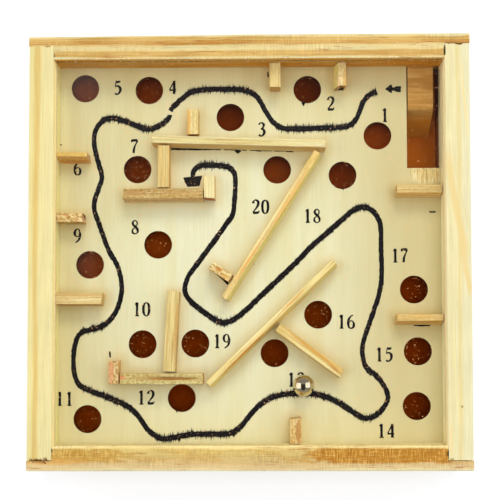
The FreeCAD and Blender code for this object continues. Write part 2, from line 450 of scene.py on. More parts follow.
def rail_section():
    """Outline of a rail as (in from the outer face, height) pairs, finer on the top face."""
    c = RAIL_ROUNDING
    t = RAIL_THICKNESS
    corners = [(c, 0), (t - c, 0), (t, c)]
    for sheet in ("bottom_sheet", "maze_board", "clear_cover"):
        low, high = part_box(sheet)
        low = low.z / MM
        high = high.z / MM + GROOVE_PLAY
        corners += [(t, low), (t - GROOVE_DEPTH, low), (t - GROOVE_DEPTH, high), (t, high)]
    corners += [(t, BOX_HEIGHT - c), (t - 0.3 * c, BOX_HEIGHT - 0.3 * c), (t - c, BOX_HEIGHT)]
    corners += [(c, BOX_HEIGHT), (0.3 * c, BOX_HEIGHT - 0.3 * c), (0, BOX_HEIGHT - c), (0, c)]
    outline = []
    for a, b in zip(corners, corners[1:] + corners[:1]):
        long = math.dist(a, b)
        on_top = long > 6 and a[1] == b[1] == BOX_HEIGHT
        outline += split_edge(a, b, 16 if on_top else 1 + int(long / 3))
    return outline


def stations(half, fine=5.0, fine_step=0.35, step=1.6):
    """Places along a rail, close together near its ends."""
    places = []
    x = -half
    while x < half - 1e-6:
        places.append(x)
        x += fine_step if abs(abs(x) - half) < fine or abs(x + step) > half - fine else step
    return places + [half]


TONGUE_RINGS = 14
ROUNDING_RINGS = 4


def make_rail(name):
    """A skin over rings along the rail. Each limit is a place along it and how far in from the
    outer face the wood starts and ends there: the far and near rails end in thin tongues."""
    along = RAILS[name].along
    limits = [(x, 0.0, RAIL_THICKNESS) for x in stations(INNER_X if along == "X" else TONGUE_Y)]
    if along == "X":
        straight = HALF_X - TONGUE_ROUNDING
        tail = [(INNER_X, 0.0, TONGUE)]
        for i in range(1, TONGUE_RINGS + 1):
            tail.append((INNER_X + (straight - INNER_X) * i / TONGUE_RINGS, 0.0, TONGUE))
        for i in range(1, ROUNDING_RINGS + 1):
            turn = math.pi / 2 * i / ROUNDING_RINGS
            at = straight + TONGUE_ROUNDING * math.sin(turn)
            tail.append((at, TONGUE_ROUNDING * (1 - math.cos(turn)), TONGUE))
        limits = [(-x, a, b) for x, a, b in reversed(tail)] + limits + tail
    outline = rail_section()
    rings = []
    for x, least, most in limits:
        ring = []
        for inward, z in outline:
            u = min(max(inward, least), most)
            ring.append(worn_rail_point(name, x, u, z, limits[-1][0], most))
        rings.append(ring)
    mesh_object(name + "_wood", "box", "frame_wood", rail_finish(name), *skin(rings), replaces=name)


def worn_rail_point(name, x, u, z, end, most):
    """A point of a rail after sanding and wear. x runs along the rail up to end, u goes in from
    its outer face up to most, and z is the height."""
    along, side = RAILS[name][:2]
    seed = RAILS[name].seed + 0.37
    top = BOX_HEIGHT
    drop = 0.0
    if z > top - 0.5:
        drop += SANDING * (1 + bumps(x * 0.25, u * 0.6, seed))
    if name == "far_rail" and x < 0:
        u += FAR_TAPER * (-x / HALF_X) * (1 - u / RAIL_THICKNESS)
    if u < 0.5:
        u += 1.2 * SANDING * (1 + bumps(x * 0.15, z * 0.4, seed + 5))
    for rail, at, place, reach, wide, deep in CHIPS:
        if rail != name or z < top - 2.0:
            continue
        far = math.hypot((x - at) / reach, (u - place) / wide)
        far += 0.5 * bumps(x * 2.1, u * 2.1, seed)
        if far < 1:
            drop += deep * min(1.0, 1.8 * (1 - far))
    gap = JOINT_GAP * (1.3 + bumps(u * 1.4, z * 0.35, seed + x))
    if along == "Y" and abs(x) > end - 0.01:
        x -= math.copysign(gap, x)
    if along == "X" and most < RAIL_THICKNESS and abs(u - most) < 0.01:
        u -= JOINT_GAP * (1.2 + bumps(x * 1.3, z * 0.35, seed))
    z = min(z, top) - drop if z > 1 else z
    if along == "X":
        return (x, side * (HALF_Y - u), z)
    return (side * (HALF_X - u), x, z)


# Stains and knots of the rails: rail, middle, reach, colour, strength
RAIL_STAINS = [
    ("right_rail", (66.8, -49.4), (0.45, 0.55), (158, 130, 62), 0.8),
    ("right_rail", (62.5, 63.3), (0.14, 1.3), (66, 24, 12), 0.95),
    ("right_rail", (66.4, 66.0), (0.8, 0.35), (96, 44, 24), 0.9),
    ("right_rail", (63.2, -60.0), (0.5, 6.0), (236, 200, 140), 0.6),
    ("left_rail", (-66.0, -66.0), (3.6, 0.4), (128, 78, 52), 0.55),
    ("near_rail", (-62.0, -66.6), (12.0, 1.2), (204, 154, 80), 0.6),
]
# Slanted growth bands: rail, start, stop, half width, colour, strength
GROWTH = [
    ("right_rail", (62.3, 36.0), (69.7, -4.0), 1.7, (217, 192, 130), 0.8),
    ("right_rail", (64.6, 34.0), (70.4, 4.0), 0.6, (212, 196, 140), 0.5),
    ("right_rail", (66.9, 6.0), (70.6, -16.0), 1.4, (217, 192, 130), 0.8),
    ("right_rail", (67.6, 64.0), (70.2, 34.0), 0.5, (232, 204, 134), 0.5),
    ("right_rail", (64.4, -18.0), (66.6, -58.0), 0.5, (228, 214, 150), 0.5),
]


def rail_finish(name):
    """A rail's wood with its own stains and growth bands."""
    s, base, height = rail_wood(name)
    for i, (rail, at, reach, rgb, strength) in enumerate(RAIL_STAINS):
        if rail == name:
            base = patch(s, base, at, reach, rgb, strength, 2.0 + i, 1.3)
    for i, (rail, start, stop, width, rgb, strength) in enumerate(GROWTH):
        if rail == name:
            base = streak(s, base, start, stop, width, rgb, strength, 4.3 * i)
    return s.surface(base, 0.62, height, 0.35, 0.00012, Specular_IOR_Level=0.12)


# ---------------------------------------------------------------- flat sheets
def glue_halo(s):
    """How much painted warm shade to lay on the board round the foot of each stick."""
    amount = 0.0
    for name, spec in STICKS.items():
        centre, half, (first, _) = stick_frame(name, spec.direction)
        turn = math.radians(spec.direction)
        here = s.place((1, 1, 0), (-centre.x, -centre.y, 0))
        run = s.dot(here, (math.cos(turn), math.sin(turn), 0))
        off = s.dot(here, (-math.sin(turn), math.cos(turn), 0))
        run = s.larger(s.minus(s.math("ABSOLUTE", run), half), 0.0)
        off = s.larger(s.minus(s.math("ABSOLUTE", off), abs(first[0][0])), 0.0)
        far = s.math("SQRT", s.plus(s.times(run, run), s.times(off, off)))
        amount = s.larger(s.spread(far, 0.3, 3.6, 0.4, 0.0), amount)
    return amount


def board_material():
    """Pale plywood with the face grain along Y, brown ply edges."""
    s = Shader("board_ply")
    broad = s.noise((0.10, 0.012, 0.1), (3, 7, 0), 3.0)
    pale = s.ramp(broad, [(0.3, (231, 226, 180)), (0.5, (236, 234, 200)), (0.72, (231, 227, 184))])
    warm = s.ramp(broad, [(0.3, (217, 205, 152)), (0.5, (224, 215, 167)), (0.72, (218, 206, 156))])
    off = s.place((1 / 58, 1 / 66, 0), (8, 6, 0))
    base = s.mix(s.spread(s.length(off), 0.35, 1.05), pale, warm)
    fibre = s.noise((2.6, 0.07, 1.0), (0, 0, 0), 5.0, 0.65)
    base = s.shaded(base, fibre, 0.925, 0.995)
    shaded = s.spread(s.here("X"), 26.0, 48.0, 0.0, 0.5)
    base = s.mix(shaded, base, (206, 190, 138))
    # painted shade: a warm darker band on the board along the foot of the far rail
    corner = s.spread(s.here("Y"), INNER_Y - 9.0, INNER_Y - 1.0, 0.0, 0.36)
    base = s.mix(corner, base, s.tinted(base, (0.90, 0.76, 0.56, 1)))
    # painted shade: the board is darkened and warmed round the foot of every stick
    base = s.mix(glue_halo(s), base, s.tinted(base, (0.86, 0.70, 0.46, 1)))
    fleck = s.noise((5.0, 0.35, 1.0), (9, 2, 0), 2.0)
    base = s.mix(s.spread(fleck, 0.66, 0.8, 0.0, 0.25), base, (206, 172, 106))
    facing = s.axis(s.facing(), "Z")
    plies = s.math("FRACT", s.times(s.here("Z"), 0.5))
    layers = [(0.0, (100, 50, 18)), (0.45, (124, 66, 26)), (0.55, (80, 36, 12)), (1.0, (96, 46, 16))]
    edge = s.ramp(plies, layers)
    base = s.mix(s.spread(facing, 0.3, 0.7), edge, base)
    split = s.noise((2.4, 0.10, 1.0), (2, 0, 0), 2.0, 0.6)
    split = s.ramp(split, [(0.34, (176, 138, 66)), (0.46, (226, 206, 146)), (0.6, (248, 238, 192))])
    torn = s.length(s.place((1 / 5, 1 / 4.4, 0), (-57.5, -26.6, 0)))
    base = s.mix(s.spread(s.plus(torn, fibre), 1.2, 1.6, 0.85, 0.0), base, split)
    return s.surface(base, 0.6, fibre, 0.15, 0.00005, Specular_IOR_Level=0.12)


def hardboard_material():
    """Smooth dark brown hardboard with a felt-like fleck."""
    s = Shader("brown_hardboard")
    felt = s.noise((0.6, 0.6, 1.0), (0, 0, 0), 5.0, 0.7)
    base = s.ramp(felt, [(0.3, (158, 60, 0)), (0.5, (170, 67, 1)), (0.7, (182, 76, 4))])
    # painted light: brighter pools on the floor under four of the holes
    for x, y in ((-52, -4), (-30, 3), (42, 39), (9, 27)):
        base = patch(s, base, (x, y), (7, 7), (206, 92, 16), 0.75, x)
    # painted shade: a darker floor under the hole next to the far rail
    base = patch(s, base, (21, 54), (7, 7), (132, 48, 0), 0.8, 5.0)
    worn = s.spread(s.here("X"), 47.0, 51.0, 0.0, 0.85)
    worn = s.times(worn, s.spread(s.here("Y"), 18.0, 26.0))
    base = s.mix(worn, base, (188, 100, 20))
    fine = s.noise((6.0, 6.0, 6.0), (0, 0, 0), 2.0)
    base = s.shaded(base, fine, 0.88, 1.08)
    return s.surface(base, 0.6, fine, 0.2, 0.00005, Specular_IOR_Level=0.0)


# Greasy smears on the clear cover: x, y, reach, how milky
SMEARS = [(-53, 53, 10, 0.016), (-54, -3, 8, 0.008)]
MOST_MIRROR = 0.05  # the share of light that the cover mirrors at the most


def acrylic_material():
    """Thin clear sheet: passes light straight through and mirrors a little of it."""
    s = Shader("clear_acrylic")
    haze = s.noise((0.08, 0.05, 0.1), (0, 0, 0), 2.0)
    tint = s.mix(haze, (0.958, 0.960, 0.953, 1), (0.972, 0.972, 0.970, 1))
    clear = s.add("ShaderNodeBsdfTransparent", {"Color": tint})
    smear = s.noise((0.5, 0.1, 0.3), (4, 4, 0), 3.0)
    rough = s.spread(smear, 0.3, 0.7, 0.02, 0.08)
    mirror = s.add("ShaderNodeBsdfGlossy", {"Color": (1, 1, 1, 1), "Roughness": rough})
    amount = s.times(s.add("ShaderNodeFresnel", {"IOR": 1.3}), 0.5)
    amount = s.math("MINIMUM", amount, MOST_MIRROR)
    glossy = s.add("ShaderNodeMixShader", {0: amount, 1: clear, 2: mirror})
    smears_and_painted_light = 0.0
    for x, y, reach, amount in SMEARS:
        spot = s.length(s.place((1 / reach, 1 / reach, 0), (-x, -y, 0)))
        spot = s.plus(spot, s.times(smear, 0.8))
        smears_and_painted_light = s.larger(s.spread(spot, 0.6, 1.6, amount, 0.0), smears_and_painted_light)
    # painted light: a pale matt strip along the left and right edges of the cover, over the shaded
    # mouths of the rail grooves
    sides = s.math("ABSOLUTE", s.here("X"))
    painted_groove_light = s.spread(sides, INNER_X - 0.42, INNER_X - 0.26, 0.0, 0.85)
    smear_film_and_painted_light = s.mix(painted_groove_light, (240, 226, 214), (242, 214, 146))
    smear_film_and_painted_light = s.add("ShaderNodeBsdfDiffuse", {"Color": smear_film_and_painted_light})
    smears_and_painted_light = s.larger(smears_and_painted_light, painted_groove_light)
    return s.finish(s.add("ShaderNodeMixShader", {0: smears_and_painted_light, 1: glossy, 2: smear_film_and_painted_light}))


def ramp_material():
    """Softwood block that lies with its grain across the box."""
    s = Shader("ramp_pine")
    fibre = s.noise((0.12, 0.8, 0.8), (5, 1, 2), 4.0, 0.5)
    base = s.ramp(fibre, [(0.3, (190, 138, 68)), (0.5, (204, 156, 84)), (0.7, (216, 174, 104))])
    band = s.noise((0.02, 0.35, 0.2), (1, 4, 0), 2.0)
    base = s.mix(s.spread(band, 0.42, 0.6, 0.0, 0.6), base, (176, 124, 58))
    # painted shade: the block turns darker orange towards its foot, below the top of the board
    low = s.spread(s.here("Z"), BOARD_TOP - 6.0, BOARD_TOP - 0.3, 0.9, 0.0)
    base = s.mix(low, base, (216, 134, 26))
    return s.surface(base, 0.6, fibre, 0.3, 0.0001, Specular_IOR_Level=0.1)


def steel_material():
    """Polished steel with the faintest scuffs."""
    s = Shader("polished_steel")
    scuff = s.noise((2.0, 2.0, 2.0), (0, 0, 0), 5.0, 0.7)
    rough = s.spread(scuff, 0.4, 0.8, 0.03, 0.09)
    base = s.mix(scuff, (206, 194, 166), (220, 210, 186))
    return s.surface(base, rough, scuff, 0.03, 0.00002, Metallic=1.0)


def dress(name, material):
    data = nodes[name].data
    data.materials.clear()
    data.materials.append(material)


# ---------------------------------------------------------------- barriers
CREAM = (244, 230, 172)
STRAW = (232, 208, 136)
AMBER = (224, 172, 84)
ORANGE = (228, 172, 88)
TAN = (224, 188, 118)
ROSE = (214, 160, 120)

# Each stick: direction, top colour, second top colour, right flank, left flank, end grain,
# wear (0 clean, 1 ragged), how far each end is cut out of square, then its patches:
# (along, across, reach along, reach across, colour, strength, depth)
# The flank colours are the wood's own colour with painted light and shade: each side is set to how it
# is lit.
Stick = namedtuple("Stick", "direction top second right left end wear skews patches")
STICKS = {
    "barrier_far_left": Stick(
        90, (242, 218, 148), (234, 206, 134), TAN, TAN, (206, 158, 92), 0.4, (0, 0), []),
    "barrier_far_right": Stick(
        -90, (240, 214, 144), CREAM, (255, 246, 140), (212, 166, 86), (150, 98, 46), 0.7, (0, 1.3),
        [(1.5, 1.6, 6, 0.6, (218, 172, 92), 0.7, 0.0),
         (2.5, -0.4, 3, 0.5, (240, 200, 160), 0.6, 0.0)]),
    "barrier_by_hole_3": Stick(
        90, (242, 220, 152), (236, 212, 134), TAN, AMBER, (196, 140, 76), 0.5, (0, 0),
        [(0, 1.5, 6, 0.8, (224, 172, 90), 0.9, 0.0)]),
    "barrier_long_bar": Stick(
        -1.8, (242, 232, 180), (231, 215, 150), (232, 198, 124), STRAW, TAN, 0.35, (0, 0), []),
    "barrier_by_hole_7": Stick(
        90, (233, 205, 135), (229, 197, 123), AMBER, AMBER, TAN, 0.1, (0, 0), []),
    "barrier_hook_arm": Stick(
        0, (192, 158, 88), (178, 142, 74), (208, 160, 108), TAN, TAN, 0.55, (0.3, 0),
        [(-10, 0.4, 5, 1.0, (190, 148, 92), 0.7, 0.1), (6, 0.6, 7, 0.8, (198, 160, 100), 0.6, 0.1)]),
    "barrier_hook_tip": Stick(
        90, (250, 236, 180), (246, 226, 166), TAN, AMBER, (186, 110, 70), 0.3, (0.4, 0), []),
    "barrier_long_diagonal": Stick(
        57.6, (242, 212, 138), (236, 200, 114), (255, 244, 148), TAN, TAN, 0.45, (0, 0),
        [(10, -0.3, 13, 0.7, (238, 190, 112), 0.8, 0.0), (-14, 0.3, 9, 0.5, (236, 178, 98), 0.8, 0.0),
         (-2, 0.9, 20, 0.4, (250, 236, 176), 0.7, 0.0)]),
    "barrier_diagonal_stub": Stick(
        -34, (244, 232, 164), (228, 198, 128), ORANGE, TAN, TAN, 1.0, (0.6, 0),
        [(-1, 0.2, 1.6, 0.8, (200, 140, 66), 0.8, 0.4), (2.2, -0.4, 1.2, 0.6, AMBER, 0.8, 0.3)]),
    "barrier_lower_diagonal": Stick(
        44, (250, 232, 160), (244, 215, 136), (255, 234, 146), (200, 158, 86), TAN, 0.35, (0, 0),
        [(-13, -0.5, 12, 0.35, (222, 150, 66), 0.9, 0.0), (9, 0.6, 9, 0.35, (226, 160, 80), 0.85, 0.0),
         (-4, 0.9, 16, 0.4, (250, 238, 180), 0.7, 0.0)]),
    "barrier_by_hole_13": Stick(
        -36.3, (228, 196, 116), (222, 194, 116), (236, 206, 132), AMBER, TAN, 0.4, (0, 0.6),
        [(2, 0.7, 12, 0.5, (222, 160, 76), 0.8, 0.0), (1, -0.7, 13, 0.6, (246, 230, 168), 0.7, 0.0),
         (10, 0.0, 3, 0.4, (196, 138, 70), 0.8, 0.1)]),
    "barrier_by_hole_10": Stick(
        87, (238, 216, 146), (228, 204, 136), (213, 180, 109), (217, 189, 117), (196, 130, 66), 0.3,
        (0, 0),
        [(0, -1.5, 13, 0.45, (206, 160, 92), 0.8, 0.0), (3, 1.0, 8, 0.5, (206, 176, 108), 0.6, 0.1),
         (-6, -0.6, 6, 0.35, (190, 148, 84), 0.6, 0.15)]),
    "barrier_low_bar": Stick(
        0, (196, 194, 124), (184, 168, 94), (172, 138, 80), (205, 168, 95), TAN, 0.7, (0, 0),
        [(0, 0.1, 13, 0.8, (190, 154, 92), 0.8, 0.1), (4, 0.1, 9, 0.6, (158, 110, 54), 0.85, 0.35),
         (-12.6, 0.4, 1.1, 0.9, (216, 130, 90), 0.8, 0.1)]),
    "barrier_low_bar_end": Stick(
        90, (194, 151, 90), (192, 159, 98), AMBER, (186, 140, 88), ROSE, 0.9, (0, 0.7),
        [(0, 0.8, 5, 0.9, (228, 162, 118), 0.7, 0.2)]),
    "barrier_left_upper": Stick(
        0, (252, 211, 108), (246, 203, 104), (232, 172, 78), AMBER, ROSE, 0.5, (0, 0.3),
        [(0, -1.0, 6, 0.5, (206, 140, 66), 0.8, 0.1)]),
    "barrier_left_middle": Stick(
        0, (214, 169, 100), (218, 182, 112), (163, 121, 55), TAN, ROSE, 1.0, (0, 0.9),
        [(-1.5, 0.9, 1.2, 0.4, (212, 150, 100), 0.5, 0.3),
         (2, -0.5, 0.8, 0.4, (200, 150, 90), 0.6, 0.3)]),
    "barrier_left_lower": Stick(
        0, (238, 212, 150), (234, 206, 140), (196, 140, 70), TAN, TAN, 0.4, (0, -0.7),
        [(0, 1.2, 9, 0.6, (214, 176, 110), 0.8, 0.05)]),
    "barrier_right_upper": Stick(
        0, (224, 196, 128), (220, 186, 114), (244, 192, 108), TAN, TAN, 0.4, (0, 0), []),
    "barrier_right_lower": Stick(
        0, (238, 198, 118), (230, 196, 124), (230, 176, 88), TAN, TAN, 0.4, (0.3, 0), []),
    "barrier_near": Stick(
        90, (206, 164, 85), (217, 181, 105), (255, 240, 172), (240, 206, 134), (196, 150, 90), 0.7,
        (0, 0.4),
        [(-0.4, -0.9, 4.4, 1.0, (188, 134, 74), 0.8, 0.15)]),
}


def stick_material(name, spec, seed):
    """Split pine. The grain runs along the stick's own X."""
    _, top, second, right, left, end, wear, _, patches = spec
    s = Shader(name + "_pine")
    fibre = s.noise((0.10, 2.4, 2.4), (seed, seed, 0), 5.0, 0.62)
    broad = s.noise((0.03, 0.55, 0.4), (seed, 0, seed), 2.0)
    upper = s.mix(s.spread(broad, 0.4, 0.62), top, second)
    upper = s.tinted(upper, (0.97, 0.965, 0.94, 1))
    facing = s.facing()
    up = s.axis(facing, "Z")
    sideways = s.axis(facing, "Y")
    lengthways = s.math("ABSOLUTE", s.axis(facing, "X"))
    torn = s.noise((0.5, 0.7, 0.7), (0, seed, 0), 4.0, 0.7)
    # painted light and shade: the flanks are oranger than the top and each side has its own colour for
    # how it is lit
    flank = s.mix(s.spread(sideways, -0.2, 0.2), right, left)
    flank = s.mix(s.spread(torn, 0.42, 0.62, 0.0, 0.55), flank, (240, 206, 140))
    foot = s.spread(s.here("Z"), 1.0, 2.6, 0.55, 0.0)
    flank = s.mix(foot, flank, (242, 220, 156))
    base = s.mix(s.spread(up, 0.45, 0.85), flank, upper)
    base = s.mix(s.spread(lengthways, 0.5, 0.8), base, end)
    base = s.shaded(base, fibre, 0.78, 1.03)
    lines = s.noise((0.05, 3.4, 3.4), (seed, 4, seed), 1.0)
    base = s.mix(s.spread(lines, 0.58, 0.66, 0.0, 0.5), base, (190, 134, 66))
    base = s.mix(s.spread(lines, 0.42, 0.34, 0.0, 0.55), base, (250, 234, 184))
    crumbs = s.noise((0.95, 1.33, 1.33), (seed, 0, 2), 3.0, 0.75)
    crumbs = s.ramp(crumbs, [(0.38, (138, 88, 34)), (0.47, (214, 170, 96)), (0.57, (252, 232, 178))])
    crumbled = max(0.0, wear - 0.3)
    base = s.mix(s.spread(up, 0.45, 0.85, 0.3 * crumbled, crumbled), base, crumbs)
    for i, (x, y, reach, wide, rgb, strength, _) in enumerate(patches):
        base = patch(s, base, (x, y), (reach, wide), rgb, strength, seed + i)
    pore = s.noise((0.4, 6.0, 6.0), (seed, 0, 3), 2.0)
    base = s.mix(s.spread(pore, 0.66, 0.78, 0.0, 0.3 + 0.3 * wear), base, (168, 112, 52))
    return s.surface(base, 0.65, fibre, 0.5, 0.00012, Specular_IOR_Level=0.1)


def rounded(corners, radius, parts):
    """Outline through corners with small rounded edges and parts points on each side."""
    outline = []
    for i, corner in enumerate(corners):
        before = Vector(corners[i - 1])
        here = Vector(corner)
        after = Vector(corners[(i + 1) % 4])
        enter = here + (before - here).normalized() * radius
        leave = here + (after - here).normalized() * radius
        middle = (enter + leave + here * 2) / 4
        stop = after + (here - after).normalized() * radius
        outline += [enter, middle]
        outline += [leave + (stop - leave) * j / parts[i] for j in range(parts[i])]
    return outline


def stick_frame(name, direction):
    """Centre, half length and the two end sections of a stick, from its CAD node."""
    turn = Matrix.Rotation(-math.radians(direction), 3, "Z")
    spots = [turn @ v.co / MM for v in nodes[name].data.vertices]
    low = Vector([min(p[i] for p in spots) for i in range(3)])
    high = Vector([max(p[i] for p in spots) for i in range(3)])
    middle = Vector(((low.x + high.x) / 2, (low.y + high.y) / 2, low.z))
    sections = []
    for side in (-1, 1):
        section = []
        for upper, pick in ((False, max), (False, min), (True, min), (True, max)):
            row = [p for p in spots if (p.x - middle.x) * side > 0]
            row = [p for p in row if (p.z > (low.z + high.z) / 2) == upper]
            y = pick(p.y for p in row) - middle.y
            section.append((y, high.z - low.z if upper else 0.0))
        sections.append(section)
    return turn.transposed() @ middle, (high.x - low.x) / 2, sections


STICK_STEP = 0.45  # millimetres from ring to ring along a stick
END_RINGS = (1.0, 0.97, 0.6, 0.2)  # sizes of the rings that close the end of a stick
SIDE_POINTS = (3, 6, 9, 6)  # across a stick's underside, left flank, top and right flank


def make_stick(name, spec, seed):
    """A skin over rings from one end section of the CAD stick to the other."""
    centre, half, (first, last) = stick_frame(name, spec.direction)
    rounding = 0.16 + 0.1 * spec.wear
    count = max(14, int(2 * half / STICK_STEP))
    rings = []
    for i in range(1 - len(END_RINGS), count + len(END_RINGS)):
        t = min(max(i / count, 0), 1)
        corners = [tuple(a + (b - a) * t for a, b in zip(p, q)) for p, q in zip(first, last)]
        outline = rounded(corners, rounding, SIDE_POINTS)
        mid = Vector(((corners[0][0] + corners[1][0]) / 2, corners[2][1] / 2))
        inset = END_RINGS[max(0, -i, i - count)]
        ring = []
        for point in outline:
            y, z = mid + (point - mid) * inset
            ring.append(worn_stick_point(t, y, z, half, spec, seed, corners))
        rings.append(ring)
    material = stick_material(name, spec, seed)
    piece = mesh_object(name + "_stick", "box", "barrier_wood", material, *skin(rings), replaces=name)
    turn = Matrix.Rotation(math.radians(spec.direction), 4, "Z")
    piece.matrix_world = Matrix.Translation(centre * MM) @ turn


def worn_stick_point(t, y, z, half, spec, seed, corners):
    """A point of a stick in its own frame after sawing, splitting and glue-up."""
    wear, skews, patches = spec[-3:]
    low = min(c[0] for c in corners)
    high = max(c[0] for c in corners)
    wide = high - low
    across = (y - low) / wide
    rough = 0.12 + 0.5 * wear
    x = -half + 2 * half * t
    fibre = abs(bumps(y * 2.3, z * 1.9, seed))
    pull = (0.08 + rough * fibre) if t in (0, 1) else 0.0
    for side, skew in zip((-1, 1), skews):
        if skew and t * 2 - 1 == side:
            pull += abs(skew) * (across if skew > 0 else 1 - across)
    if t == 0:
        x += pull
    elif t == 1:
        x -= pull
    elif 1 - abs(2 * t - 1) < 0.1:
        x = min(max(x, -half + abs(skews[0]) + rough), half - abs(skews[1]) - rough)
    wave = bumps(x * 0.22, seed, 0) * 0.05
    fine = bumps(x * 0.5, y * 2.4, z * 2.4 + seed)
    cut = (0.04 + 0.10 * wear) * (1 + fine) / 2 + abs(wave)
    middle = (low + high) / 2
    y = middle + (y - middle) * (1 - cut / (wide / 2))
    if z > 3:
        z -= cut * 1.2
        for px, py, reach, wide_reach, _, _, depth in patches:
            far = math.hypot((x - px) / reach, (y - py) / wide_reach)
            far += 0.4 * bumps(x * 0.9, y * 1.8, seed)
            if depth and far < 1:
                z -= depth * min(1, 2 * (1 - far)) * (1 + 0.6 * fine)
    return (x, y, z)


# ---------------------------------------------------------------- print on the board
ROUTE = [
    (42, 53), (39.3, 51.7), (37.5, 49.5), (35.9, 45.4), (34, 42.5), (31.2, 41.4), (24, 41), (11.5, 41),
    (8, 43), (5.5, 46.6), (3, 51), (0.3, 53.1), (-4.5, 54), (-18, 53.5), (-22.1, 50.9), (-25.5, 47.5),
    (-26.5, 44.5), (-29.5, 42), (-33, 41), (-36.3, 41.8), (-42, 44), (-45.3, 44.7), (-48.5, 43.5),
    (-50.5, 40.5), (-51, 37.5), (-50.4, 33), (-49.1, 28.4), (-48.3, 25), (-49.1, 22.1), (-50.6, 17.8),
    (-50.8, 14.5), (-49.3, 10), (-46, 1), (-43.2, -4), (-41.8, -9.3), (-42, -14.5), (-44, -19.8),
    (-47.5, -23.5), (-51.8, -24.9), (-55, -26), (-56.7, -29.1), (-57.4, -34.4), (-57, -39.5),
    (-55.4, -42.9), (-52.2, -44.7), (-45, -47.4), (-39.7, -49.9), (-36.5, -52.6), (-33.4, -57),
    (-30.3, -59.6), (-27.6, -60.4), (-19, -59), (-6.5, -58.7), (-3.4, -57), (0, -53), (3.4, -49.4),
    (7.5, -47), (14, -45.8), (21, -46), (26, -47.4), (31, -50.1), (36.4, -53.5), (39.4, -53.6),
    (43, -51), (44.9, -47.4), (44.1, -44.3), (41.6, -40.6), (38, -37.5), (36.8, -33.9), (37, -29.4),
    (39.6, -21.5), (42.1, -14.1), (43.1, -8.5), (43, 1), (42.9, 8.6), (41.9, 11.6), (39.9, 14),
    (37.4, 14.9), (34, 13.8), (29.5, 10), (19.5, 1.3), (17, -1.5), (5.5, -12.4), (-1.6, -19.1),
    (-5.2, -21.8), (-8.4, -22.8), (-11.6, -21.6), (-16, -18.4), (-19.4, -15.5), (-20.9, -13),
    (-20.9, -10.4), (-19.5, -7), (-15.7, -1.8), (-11, 4.6), (-7.8, 9.1), (-5.5, 12.5), (-4.9, 16),
    (-4.5, 21.6), (-4.7, 25.7), (-6.1, 27.8), (-8.5, 28.6), (-12, 28.9), (-15.6, 28.8), (-17.5, 27.9),
    (-18.3, 26.5), (-18.5, 25),
]
START_ARROW = [
    (44.7, 53.8, 0.15), (46.9, 53.9, 2.9), (47.0, 53.9, 1.3), (47.9, 53.8, 1.2),
    (48.5, 53.8, 1.9), (49.9, 53.7, 1.9),
]
FINISH_MARK = [(-18.55, 25.2, 6.3), (-18.4, 23.6, 5.3), (-18.3, 21.9, 3.9)]
ROUTE_WIDTH = 1.55
ROUTE_GAP = (-25.9, 46.3)  # the print missed a sliver here
INK_DEPTH = 0.03
REGISTER = (-0.19, 0.22)  # the whole print sits a little off the holes
NUMBER_HEIGHT = 4.45
PEN_WEIGHT = 1.4  # the printed strokes have spread a little
DIGIT_PITCH = 3.1

NUMBERS = {
    1: (44.5, 45.2), 2: (26.8, 49.1), 3: (4.1, 40.7), 4: (-25.1, 54.8), 5: (-43.3, 54.8),
    6: (-56.4, 28.1), 7: (-37.6, 35.3), 8: (-37.4, 8.6), 9: (-56.3, 5.8), 10: (-35.2, -18.3),
    11: (-60.3, -47.4), 12: (-33.7, -47.0), 13: (15.1, -41.3), 14: (44.2, -57.9),
    15: (43.7, -33.2), 16: (31.5, -22.5), 17: (49.1, -1.0), 18: (20.6, 12.1), 19: (-9.0, -28.8),
    20: (3.7, 15.15),
}

# Pen strokes of each digit as (x, y, thickness) in hundredths of its height; a digit is
# half as wide as high.
DIGITS = {
    "0": [
        [(25, 100, 6), (9, 85, 12), (4, 50, 14), (9, 15, 12), (25, 0, 6), (41, 15, 12), (46, 50, 14),
         (41, 85, 12), (25, 100, 6)],
    ],
    "1": [
        [(27, 100, 13), (27, 50, 13), (27, 2, 13)],
        [(12, 84, 7), (20, 90, 9), (27, 98, 10)],
        [(12, 2, 6), (42, 2, 6)],
    ],
    "2": [
        [(7, 76, 17), (10, 92, 8), (25, 100, 8), (41, 90, 13), (44, 72, 14), (34, 48, 10), (16, 24, 7),
         (4, 8, 7)],
        [(4, 6, 13), (44, 6, 13)],
        [(46, 3, 6), (50, 22, 5)],
    ],
    "3": [
        [(6, 84, 12), (16, 97, 7), (30, 98, 9), (42, 84, 13), (36, 64, 9), (20, 54, 6)],
        [(20, 54, 6), (40, 46, 12), (46, 27, 15), (36, 7, 10), (20, 0, 7), (7, 10, 15)],
    ],
    "4": [
        [(36, 98, 6), (2, 32, 6)],
        [(0, 29, 9), (50, 29, 9)],
        [(36, 100, 13), (36, 0, 14)],
    ],
    "5": [
        [(12, 95, 13), (30, 92, 12), (46, 98, 7)],
        [(13, 95, 5), (8, 56, 5)],
        [(8, 56, 5), (25, 63, 9), (42, 50, 14), (45, 28, 14), (34, 7, 10), (18, 0, 8), (6, 8, 12)],
    ],
    "6": [
        [(42, 97, 6), (24, 88, 7), (9, 65, 12), (5, 35, 14), (11, 10, 10), (26, 0, 7), (42, 10, 12),
         (46, 30, 13), (39, 50, 8), (25, 56, 6), (10, 44, 6)],
    ],
    "7": [
        [(4, 78, 6), (6, 93, 12), (46, 93, 14)],
        [(46, 92, 8), (30, 58, 8), (20, 30, 12), (18, 0, 13)],
    ],
    "8": [
        [(42, 84, 8), (26, 99, 6), (9, 86, 11), (12, 68, 13), (28, 52, 14), (42, 34, 13), (44, 14, 10),
         (26, 0, 6), (7, 12, 11), (7, 30, 9), (22, 48, 6), (38, 66, 7), (42, 84, 8)],
    ],
    "9": [
        [(42, 72, 10), (38, 92, 8), (25, 100, 6), (10, 90, 11), (5, 70, 14), (11, 51, 9), (26, 44, 6),
         (41, 56, 8)],
        [(43, 76, 12), (44, 48, 13), (34, 18, 10), (10, 0, 6)],
    ],
}

